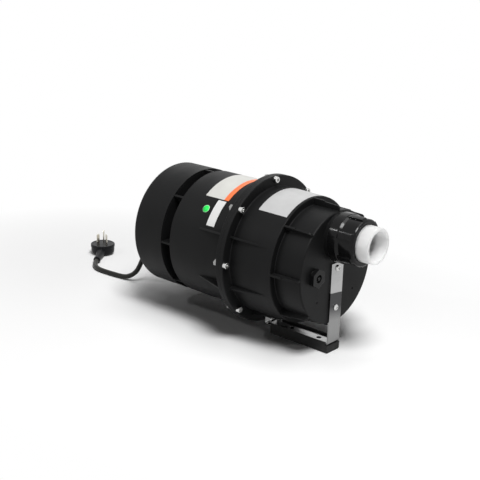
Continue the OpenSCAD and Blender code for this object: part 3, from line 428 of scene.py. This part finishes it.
def makePins(values, centre):
    turned = math.atan2(cordWay.y, cordWay.x) + math.pi / 2
    root = (values["face"] - values["sunk"]) * mm
    face = Matrix.Translation((centre.x, centre.y, root)) @ Matrix.Rotation(turned, 4, "Z")
    live = makePin("livePin", values["live"], values)
    neutral = live.copy()
    neutral.data = live.data.copy()
    bpy.context.scene.collection.objects.link(neutral)
    earth = makePin("earthPin", values["earth"], values)
    for pin, side in ((live, -1), (neutral, 1)):
        place = face @ Vector((side * values["spread"] * mm, values["lift"] * mm, 0))
        placePin(pin, place, turned + side * math.radians(values["slant"]), values["smooth"])
    placePin(earth, face @ Vector((0, -values["earthDrop"] * mm, 0)), turned, values["smooth"])
    pickOnly(live)
    neutral.select_set(True)
    earth.select_set(True)
    bpy.ops.object.join()
    live.name = "plugPinSet"
    return live


# The groove repeats along the tail: each point is a step along it and a change of its radius
guardSet = {"reach": 0.025, "sides": 64,
            "bush": [(12.2, 6.5), (0.02, 6.5), (0, 8.2), (-0.3, 8.5), (-3.6, 8.5), (-4.3, 8.2),
                     (-6, 7.1)],
            "tail": ((6, 7.0), (25, 5.0)), "grooves": (6.4, 24.4), "gap": 2.6,
            "groove": [(0, -0.55), (0.9, -0.55), (1.1, 0.05), (2.3, -0.12)],
            "tip": [(-24.6, 5.0), (-25, 4.7), (-25, 3.9)]}


def makeGuard(values):
    # screwed bush, shoulder and a tapered tail with ring grooves that let it flex
    profile = list(values["bush"])
    (tailStart, thickRadius), (tailEnd, thinRadius) = values["tail"]
    at, lastAt = values["grooves"]
    while at < lastAt:
        share = (at - tailStart) / (tailEnd - tailStart)
        radius = thickRadius + share * (thinRadius - thickRadius)
        profile += [(-(at + step), radius + change) for step, change in values["groove"]]
        at += values["gap"]
    profile += values["tip"]
    wall = cordSet["start"][0] + values["reach"]
    return drawnOut("cordGuard", (wall, 0, cordSet["start"][2]), (1, 0, 0), profile,
                    values["sides"])


plugShell, plugCentre = makePlug(plugSet)
plugPinSet = makePins(pinSet, plugCentre)
cordGuard = makeGuard(guardSet)
for made, node, slot in ((cord, "cord", "cord_pvc"), (plugShell, "plug_body", "cord_pvc"),
                         (plugPinSet, "plug_pins", "pin_brass"),
                         (cordGuard, "cord_gland", "cord_pvc")):
    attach(made, "housing")
    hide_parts(node)
print("plug, pins and guard made")

# Stickers: x from the flange's face, angle round the axis in degrees, and radius of the wall
# under the front and the rear edge, all lengths in mm
stickerSet = {
    "labelCream": {"x": (-76, -35), "angle": (53, 127), "radius": 88.0, "rear": 88.0,
                   "corner": 1.0, "colour": (0.64, 0.638, 0.605), "roughness": 0.42,
                   "band": -43, "bandColour": (0.92, 0.19, 0.05)},
    "stripWhite": {"x": (-51, -37), "angle": (128.4, 153.5), "radius": 88.0, "rear": 88.0,
                   "corner": 1.2, "colour": (0.75, 0.75, 0.745), "roughness": 0.38},
    "labelSilver": {"x": (17, 63), "angle": (53, 127), "radius": 86.1, "rear": 87.15,
                    "corner": 1.0, "colour": (0.53, 0.53, 0.53), "roughness": 0.36,
                    "metallic": 0.1},
}
filmSet = {"thick": 0.12, "lift": 0.02, "step": 2.6, "cornerSteps": 5, "weld": 0.01, "smooth": 30}


def makeSticker(name, values):
    # the film's cut edge, a thin plane, is spun round the axis, then its corners are rounded
    rearX, frontX = values["x"]
    first, last = (math.radians(angle) for angle in values["angle"])
    rise = values["radius"] - values["rear"]
    radius = (values["radius"] + values["rear"]) / 2 + filmSet["lift"] + filmSet["thick"] / 2
    place = (flangeX + (rearX + frontX) / 2 * mm, radius * mm, axisHeight)
    deselectAll()
    bpy.ops.mesh.primitive_plane_add(size=1, location=place,
                                     rotation=(0, 0, math.atan2(rise, frontX - rearX)))
    film = bpy.context.object
    film.name = name
    film.scale = (math.hypot(rise, frontX - rearX) * mm, filmSet["thick"] * mm, 1)
    applyPlace()
    bpy.ops.object.mode_set(mode="EDIT")
    bpy.ops.mesh.select_all(action="SELECT")
    steps = round((last - first) * radius / filmSet["step"])
    bpy.ops.mesh.spin(steps=steps, angle=last - first, center=(0, 0, axisHeight),
                      axis=(-1, 0, 0))
    bpy.ops.mesh.select_all(action="SELECT")
    bpy.ops.mesh.remove_doubles(threshold=filmSet["weld"] * mm)
    bpy.ops.mesh.normals_make_consistent(inside=False)
    pickCorners(film)
    bpy.ops.mesh.bevel(offset=values["corner"] * mm, segments=filmSet["cornerSteps"],
                       affect="EDGES", clamp_overlap=False)
    bpy.ops.object.mode_set(mode="OBJECT")
    axis = Matrix.Translation((0, 0, axisHeight))
    film.matrix_world = axis @ Matrix.Rotation(first, 4, "X") @ axis.inverted()
    applyPlace()
    smoothUnder(filmSet["smooth"])
    return film


def pickCorners(film):                      # selects the four short edges at the film's corners
    form = bmesh.from_edit_mesh(film.data)
    for face in form.faces:
        face.select = False
    form.select_flush(False)
    for edge in form.edges:
        short = edge.calc_length() < 2 * filmSet["thick"] * mm
        edge.select = short and edge.calc_face_angle() > 1
    bmesh.update_edit_mesh(film.data)


dotSet = {"x": -62.5, "angle": 139.5, "width": 11.0, "radius": 88.0, "margin": 1.0, "corner": 0.5,
          "punchSides": 64, "punchDepth": 10.0,
          "colour": (0.006, 0.88, 0.10), "roughness": 0.45,
          "rim": 0.7, "rimColour": (0.42, 0.86, 0.46)}


def dotPlace(values):                       # the spot's middle, and the way that it faces
    angle = math.radians(values["angle"])
    outward = Vector((0, math.cos(angle), math.sin(angle)))
    foot = Vector((flangeX + values["x"] * mm, 0, axisHeight))
    return foot + outward * values["radius"] * mm, outward


def makeDot(values):
    # a small square of film, cut round by a punch
    half = values["width"] / 2 + values["margin"]
    arc = math.degrees(half / values["radius"])
    dot = makeSticker("dotGreen", {"x": (values["x"] - half, values["x"] + half),
                                   "angle": (values["angle"] - arc, values["angle"] + arc),
                                   "radius": values["radius"], "rear": values["radius"],
                                   "corner": values["corner"]})
    place, outward = dotPlace(values)
    deselectAll()
    bpy.ops.mesh.primitive_cylinder_add(
        vertices=values["punchSides"], radius=values["width"] / 2 * mm,
        depth=values["punchDepth"] * mm, location=place,
        rotation=outward.to_track_quat("Z", "Y").to_euler())
    punch = bpy.context.object
    runModifier(dot, "BOOLEAN", object=punch, operation="INTERSECT", solver="EXACT")
    bpy.data.objects.remove(punch)
    return dot


stickers = {name: makeSticker(name, values) for name, values in stickerSet.items()}
stickers["dotGreen"] = makeDot(dotSet)
for film in stickers.values():
    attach(film, "housing")
print("stickers laid on")

# A noise is given by its scale, detail and stretch, a bump by its strength, distance and
# rounding, and a gloss by how far the roughness goes below and above its middle
sparkGrain = ((1500, 2), (0.22, 0.00025))
polishGrain = ((300, 2), (0.05, 0.00025))
mouldSet = {"cloud": (9, 3), "darker": 0.82, "paler": (1.25, 0.001),
            "flow": (38, 4, (1, 0.35, 0.35)), "gloss": (-0.06, 0.07),
            "edge": (2.0, 0.006), "edgeShare": 0.55, "edgeGloss": 0.10}


def toned(shade, share, lift=0.0):          # a colour made darker or lighter
    return tuple(part * share + lift for part in shade)


def mouldedFinish(name, shade, roughness, grain, rounding, shine=0.5):
    # moulded plastic: fine texture, cloudy gloss and slightly paler, smoother edges
    finish = Finish(name, shade, roughness, more={"Specular IOR Level": shine})
    cloud = finish.spread(finish.noise(*mouldSet["cloud"]), 0, 1)
    flow = finish.noise(*mouldSet["flow"])
    rim = finish.edges(rounding)
    tone = finish.mix(cloud, toned(shade, mouldSet["darker"]), toned(shade, *mouldSet["paler"]))
    edge = toned(shade, *mouldSet["edge"])
    finish.set("Base Color", finish.mix(rim * mouldSet["edgeShare"], tone, edge))
    gloss = finish.around(flow, roughness, mouldSet["gloss"])
    finish.set("Roughness", gloss - rim * mouldSet["edgeGloss"])
    texture, depth = grain
    finish.bump(finish.noise(*texture), *depth, rounding)
    return finish


steelSet = {"lines": (420, 3), "gloss": (-0.05, 0.09), "bump": (0.06, 0.0002),
            "stain": (24, 4), "stained": 0.80, "stainGloss": (0, 0.06)}


def steelFinish(name, shade, roughness, stretch, rounding, metallic=1.0):
    # metal with the lines of rolling or turning along one direction
    finish = Finish(name, shade, roughness, metallic)
    lines = finish.noise(*steelSet["lines"], stretch)
    stain = finish.noise(*steelSet["stain"])
    stained = toned(shade, steelSet["stained"])
    finish.set("Base Color", finish.mix(finish.spread(stain, 0, 1), shade, stained))
    drawn = finish.around(lines, roughness, steelSet["gloss"])
    finish.set("Roughness", drawn + finish.spread(stain, *steelSet["stainGloss"]))
    finish.bump(lines, *steelSet["bump"], rounding)
    return finish


rubberSet = {"shade": (0.007, 0.007, 0.0073), "dusty": (0.026, 0.0255, 0.0245), "shine": 0.25,
             "roughness": 0.60, "gloss": (-0.05, 0.12), "dust": (60, 5), "dustRange": (0.45, 0.75),
             "grain": (900, 3), "bump": (0.25, 0.0003, 0.0004)}


def rubberFinish(values):
    # dull rubber with dust on it in patches
    finish = Finish("mattRubber", values["shade"], values["roughness"],
                    more={"Specular IOR Level": values["shine"]})
    dust = finish.noise(*values["dust"])
    patches = finish.spread(dust, 0, 1, *values["dustRange"])
    finish.set("Base Color", finish.mix(patches, values["shade"], values["dusty"]))
    finish.set("Roughness", finish.around(dust, values["roughness"], values["gloss"]))
    finish.bump(finish.noise(*values["grain"]), *values["bump"])
    return finish


foamSet = {"shade": (0.010, 0.010, 0.011), "roughness": 0.95, "shine": 0.1, "cells": 620,
           "cellRange": (0.1, 0.6), "paintedHollowShade": (0.004, 0.004, 0.004), "wall": (0.020, 0.020, 0.021),
           "bump": (0.9, 0.0008)}


def foamFinish(values):
    # open cells, with painted shade in their hollows, paler at their walls
    finish = Finish("openFoam", values["shade"], values["roughness"],
                    more={"Specular IOR Level": values["shine"]})
    cells = finish.node("ShaderNodeTexVoronoi", None,
                        {"Vector": finish.place, "Scale": values["cells"]})
    walls = finish.spread(cells, 0, 1, *values["cellRange"])
    finish.set("Base Color", finish.mix(walls, values["paintedHollowShade"], values["wall"]))
    finish.bump(cells, *values["bump"])
    return finish


# The bore is what lies nearer to the outlet's axis than its radius, both in metres
pipeSet = {"fresh": (0.76, 0.76, 0.755), "dusty": (0.73, 0.73, 0.72), "paintedLitBore": (0.96, 0.96, 0.955),
           "axis": (0, 0, 0.1604), "across": (0, 1, 1), "boreRadius": 0.0197,
           "roughness": 0.34, "subsurface": (0.9, 0.03), "dust": (30, 3),
           "sheen": (160, 3), "sheenRange": (0.28, 0.42),
           "turning": (700, 2, (1, 0.1, 0.1)), "bump": (0.05, 0.0002, 0.0006)}


def pipeFinish(values):
    # white pipe plastic: faint turning lines, dust on the outside, and painted light that makes the
    # bore paler
    weight, reach = values["subsurface"]
    finish = Finish("whitePipe", values["fresh"], values["roughness"],
                    more={"Subsurface Weight": weight, "Subsurface Scale": reach,
                          "Subsurface Radius": (1, 1, 1)})
    dust = finish.spread(finish.noise(*values["dust"]), 0, 1)
    outside = finish.mix(dust, values["fresh"], values["dusty"])
    away = finish.vector("SUBTRACT", finish.place, values["axis"])
    away = finish.vector("MULTIPLY", away, values["across"])
    away = finish.vector("LENGTH", away, output="Value")
    # the bore gets a paler colour: painted light inside it
    finish.set("Base Color", finish.mix(away < values["boreRadius"], outside, values["paintedLitBore"]))
    sheen = finish.noise(*values["sheen"])
    finish.set("Roughness", finish.spread(sheen, *values["sheenRange"]))
    finish.bump(finish.noise(*values["turning"]), *values["bump"])
    return finish


coilSet = {"shade": (0.52, 0.20, 0.07), "roughness": 0.34, "metallic": 0.85, "coat": 0.4,
           "wires": {"Scale": 480, "Distortion": 1.5, "Detail": 2},
           "gap": (0.22, 0.07, 0.02), "crown": (0.60, 0.25, 0.09), "bump": (0.6, 0.0004)}


def coilFinish(values):
    # enamelled copper wire, its turns as fine ridges, with painted shade in the gaps between turns
    finish = Finish("copperCoil", values["shade"], values["roughness"], values["metallic"],
                    {"Coat Weight": values["coat"]})
    wires = finish.wave("DIAGONAL", values["wires"])
    # painted shade: darker in the gaps between the turns, paler on their crowns
    finish.set("Base Color", finish.mix(wires, values["gap"], values["crown"]))
    finish.bump(wires, *values["bump"])
    return finish


stackSet = {"shade": (0.20, 0.20, 0.21), "roughness": 0.45, "metallic": 0.8,
            "sheets": {"Scale": 320, "Distortion": 0.3},
            "gap": (0.10, 0.10, 0.11), "crown": (0.26, 0.26, 0.27), "bump": (0.5, 0.0003)}


def stackFinish(values):
    # stacked sheets, seen as fine lines across the axis
    finish = Finish("stackedSheets", values["shade"], values["roughness"], values["metallic"])
    sheets = finish.wave("X", values["sheets"])
    finish.set("Base Color", finish.mix(sheets, values["gap"], values["crown"]))
    finish.bump(sheets, *values["bump"])
    return finish


sheathSet = {"shade": (0.009, 0.009, 0.0075), "roughness": 0.34, "shine": 0.22, "marks": (140, 4),
             "dark": (0.006, 0.006, 0.0048), "pale": (0.013, 0.013, 0.010),
             "sheenRange": (0.28, 0.42), "grain": (500, 3), "bump": (0.12, 0.0003)}


def sheathFinish(values):
    # the cord's soft plastic, with marks from handling
    finish = Finish("cordSheath", values["shade"], values["roughness"],
                    more={"Specular IOR Level": values["shine"]})
    marks = finish.noise(*values["marks"])
    finish.set("Base Color", finish.mix(finish.spread(marks, 0, 1), values["dark"], values["pale"]))
    finish.set("Roughness", finish.spread(marks, *values["sheenRange"]))
    finish.bump(finish.noise(*values["grain"]), *values["bump"])
    return finish


filmLook = {"marks": (55, 4), "marked": 0.93, "gloss": (-0.05, 0.10),
            "peel": (260, 2), "bump": (0.06, 0.0004)}


def stickerFinish(name, values):
    # film: slight orange peel, faint handling marks
    shade, roughness = values["colour"], values["roughness"]
    finish = Finish(name, shade, roughness, values.get("metallic", 0.0))
    marks = finish.noise(*filmLook["marks"])
    marked = toned(shade, filmLook["marked"])
    finish.set("Base Color", finish.mix(finish.spread(marks, 0, 1), shade, marked))
    finish.set("Roughness", finish.around(marks, roughness, filmLook["gloss"]))
    finish.bump(finish.noise(*filmLook["peel"]), *filmLook["bump"])
    return finish


def creamLabelFinish(values):
    # cream film with a plain orange band along the edge beside the flange
    finish = stickerFinish("labelCreamFilm", values)
    band = finish.along(0) > flangeX + values["band"] * mm
    finish.set("Base Color", finish.mix(band, finish.fed("Base Color"), values["bandColour"]))
    return finish


def dotFinish(values):
    # green spot with a pale rim
    finish = stickerFinish("dotFilm", values)
    centre = tuple(dotPlace(values)[0])
    rim = finish.vector("DISTANCE", finish.place, centre, output="Value")
    rim = rim > (values["width"] / 2 - values["rim"]) * mm
    finish.set("Base Color", finish.mix(rim, finish.fed("Base Color"), values["rimColour"]))
    return finish


# Heights and the face of the upright leg are in metres; two colours paint a dark reflection in a
# band on the leg
strapSet = {"shade": (0.47, 0.47, 0.47), "paintedDarkReflection": (0.056, 0.056, 0.058), "paintedDimReflection": (0.28, 0.28, 0.28),
            "roughness": 0.11, "rolling": (6, 6, 0.15), "rounding": 0.0003,
            "edge": 0.0838, "lean": 0.14, "edgeNoise": (60, 2), "ragged": 0.0012,
            "deepest": 0.0650, "clear": 0.0450, "legFace": 0.1120}


def strapFinish(values):
    # bright rolled strip, with a painted dark reflection in a band along part of the upright leg
    finish = steelFinish("rolledStrap", values["shade"], values["roughness"], values["rolling"],
                         values["rounding"])
    plain = finish.fed("Base Color")
    ragged = finish.noise(*values["edgeNoise"]) * values["ragged"]
    height = finish.along(2) + finish.along(1) * values["lean"] + ragged
    below = (height < values["edge"]) * (finish.along(0) > values["legFace"])
    # painted reflection: darkest under the band's top edge, lighter towards the foot of the leg
    lower = finish.spread(height, 0, 1, values["clear"], values["deepest"])
    paintedReflection = finish.mix(lower, values["paintedDimReflection"], values["paintedDarkReflection"])
    finish.set("Base Color", finish.mix(below, plain, paintedReflection))
    return finish


finishes = {
    "housing": mouldedFinish("satinHousing", (0.0056, 0.0057, 0.0059), 0.46, sparkGrain,
                             rounding=0.0006, shine=0.11),
    "nut": mouldedFinish("glossNut", (0.0052, 0.0052, 0.0054), 0.15, polishGrain,
                         rounding=0.0005, shine=0.16),
    "rubber": rubberFinish(rubberSet),
    "foam": foamFinish(foamSet),
    "pipe": pipeFinish(pipeSet),
    "bolt": steelFinish("zincBolt", (0.70, 0.70, 0.69), 0.15, (1, 1, 1), rounding=0.00012),
    # a darker copy of the bolt steel for the flange nuts: painted shade behind the flange
    "shadedNutZinc": steelFinish("shadedZinc", (0.36, 0.36, 0.355), 0.20, (1, 1, 1), rounding=0.00012),
    "strap": strapFinish(strapSet),
    "bearing": steelFinish("groundSteel", (0.56, 0.56, 0.57), 0.25, (6, 0.3, 0.3),
                           rounding=0.0002),
    "can": steelFinish("drawnSheet", (0.62, 0.63, 0.64), 0.34, (0.2, 3, 3), rounding=0.0003),
    "cast": steelFinish("castAlloy", (0.58, 0.59, 0.60), 0.48, (1, 1, 1), rounding=0.0005,
                        metallic=0.9),
    "brass": steelFinish("holderBrass", (0.70, 0.55, 0.30), 0.30, (1, 1, 0.2), rounding=0.0002),
    "pin": steelFinish("platedPin", (0.68, 0.65, 0.57), 0.24, (1, 1, 0.2), rounding=0.0002),
    "carbon": mouldedFinish("brushCarbon", (0.02, 0.02, 0.022), 0.55, sparkGrain,
                            rounding=0.0002),
    "block": mouldedFinish("creamBlock", (0.60, 0.57, 0.50), 0.45, polishGrain, rounding=0.0004),
    "coil": coilFinish(coilSet),
    "stack": stackFinish(stackSet),
    "sheath": sheathFinish(sheathSet),
    "plug": mouldedFinish("plugVinyl", (0.0045, 0.005, 0.0062), 0.36, polishGrain,
                          rounding=0.0005, shine=0.16),
    "labelCream": creamLabelFinish(stickerSet["labelCream"]),
    "stripWhite": stickerFinish("stripFilm", stickerSet["stripWhite"]),
    "labelSilver": stickerFinish("labelSilverFilm", stickerSet["labelSilver"]),
    "dotGreen": dotFinish(dotSet),
}

nodeFinish = {
    "housing": ["rear_cap", "baffle_plate", "barrel", "front_housing"],
    "nut": ["union_nut", "hex_plug", "gland_nut"],
    "rubber": ["flange_seal", "union_seal", "plug_washer", "foot", "mount_ring_rear",
               "mount_ring_front", "lead_grommets"],
    "foam": ["cap_foam", "intake_foam"],
    "pipe": ["tailpiece"],
    "bolt": ["cap_screws", "flange_bolts", "bracket_screws", "shaft_nut", "motor_bolts"],
    "shadedNutZinc": ["flange_nuts"],
    "strap": ["bracket"],
    "bearing": ["fan_spacers", "shaft", "bearing_fan_end", "bearing_brush_end", "brush_springs"],
    "can": ["fan_can"],
    "cast": ["impeller_1", "impeller_2", "diffuser", "fan_end_bracket", "brush_end_bracket"],
    "brass": ["brush_holders"],
    "carbon": ["carbon_brushes"],
    "block": ["terminal_block"],
    "coil": ["field_coils", "armature_windings", "commutator"],
    "stack": ["stator_core", "armature_core"],
    "sheath": ["inner_leads"],
}
for finishName, names in nodeFinish.items():
    for name in names:
        dress(nodes[name], finishes[finishName])
for name, film in stickers.items():
    dress(film, finishes[name])
for made, finishName in ((cord, "sheath"), (plugShell, "plug"), (plugPinSet, "pin"),
                         (cordGuard, "plug")):
    dress(made, finishes[finishName])
print("finishes on")
